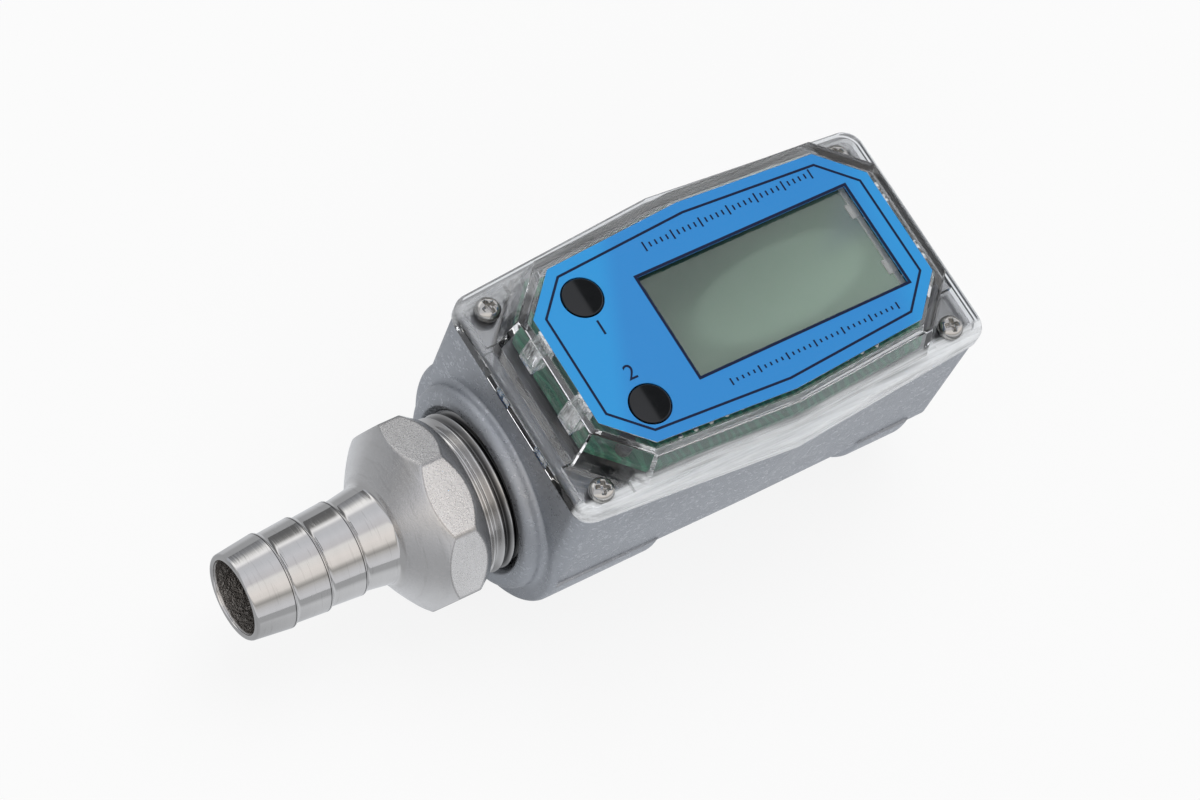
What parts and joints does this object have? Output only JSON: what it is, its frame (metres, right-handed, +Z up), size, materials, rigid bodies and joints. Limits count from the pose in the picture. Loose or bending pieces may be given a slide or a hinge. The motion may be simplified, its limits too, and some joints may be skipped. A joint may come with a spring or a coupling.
{
  "type": "turbine flow meter",
  "caption": "In-line turbine flow meter with a cast body, a clear-covered digital register, two push buttons and a barbed hose tail.",
  "frame": {"origin": "centre of the outlet port's end face, on the flow axis", "axes": "+X along the flow, out of the outlet port; +Z up through the register's face; +Y towards the register's upper edge"},
  "size_m": [0.1555, 0.0586, 0.0683],
  "materials": {
    "cast_body": "shot-blasted casting, as cast",
    "stainless": "cast and turned stainless steel",
    "vane_plastic": "natural acetal",
    "bearing_bush": "sintered bronze",
    "spring_steel": "phosphated spring steel",
    "rotor_plastic": "moulded nylon",
    "ground_steel": "ground pin",
    "magnet": "ferrite magnet",
    "bobbin_plastic": "moulded",
    "copper_wire": "enamelled copper",
    "ferrite": "ferrite rod",
    "tray_plastic": "moulded",
    "cell_jacket": "plain printed sleeve",
    "board_green": "solder-masked board",
    "component_black": "moulded packages",
    "plated_screw": "nickel plated",
    "display_glass": "reflective liquid-crystal cell",
    "contact_rubber": "conductive strip",
    "clear_frame": "clear moulding, frosted edges",
    "button_black": "gloss black",
    "plunger_plastic": "moulded",
    "clear_cover": "clear polycarbonate",
    "gasket_rubber": "moulded ring",
    "face_blue": "printed film"
  },
  "bodies": {
    "meter": {"meter_body": "cast_body", "hose_tail": "stainless", "inlet_straightener": "vane_plastic", "outlet_straightener": "vane_plastic", "inlet_bush": "bearing_bush", "outlet_bush": "bearing_bush", "inlet_retaining_ring": "spring_steel", "outlet_retaining_ring": "spring_steel", "pickup_bobbin": "bobbin_plastic", "pickup_winding": "copper_wire", "pickup_core": "ferrite", "battery_tray": "tray_plastic", "battery_cells": "cell_jacket", "battery_contacts": "spring_steel", "circuit_board": "board_green", "board_components": "component_black", "board_screws": "plated_screw", "lcd_glass": "display_glass", "lcd_strips": "contact_rubber", "lcd_holder": "clear_frame", "switch_housings": "component_black", "clear_cover": "clear_cover", "cover_gasket": "gasket_rubber", "cover_screws": "plated_screw", "face_panel": "face_blue"},
    "rotor": {"turbine_rotor": "rotor_plastic", "rotor_shaft": "ground_steel", "rotor_magnets": "magnet"},
    "calibrate_key": {"calibrate_button": "button_black", "calibrate_plunger": "plunger_plastic"},
    "display_key": {"display_button": "button_black", "display_plunger": "plunger_plastic"}
  },
  "joints": [
    {"name": "rotor_spin", "type": "hinge", "parent": "meter", "child": "rotor", "pos_m": [-0.051, 0, 0], "axis": [1, 0, 0], "continuous": true},
    {"name": "calibrate_press", "type": "slide", "parent": "meter", "child": "calibrate_key", "axis": [0, 0, -1], "range_m": [0, 0.0006], "stiffness_N_per_m": 800, "springref_m": -0.001},
    {"name": "display_press", "type": "slide", "parent": "meter", "child": "display_key", "axis": [0, 0, -1], "range_m": [0, 0.0006], "stiffness_N_per_m": 800, "springref_m": -0.001}
  ]
}
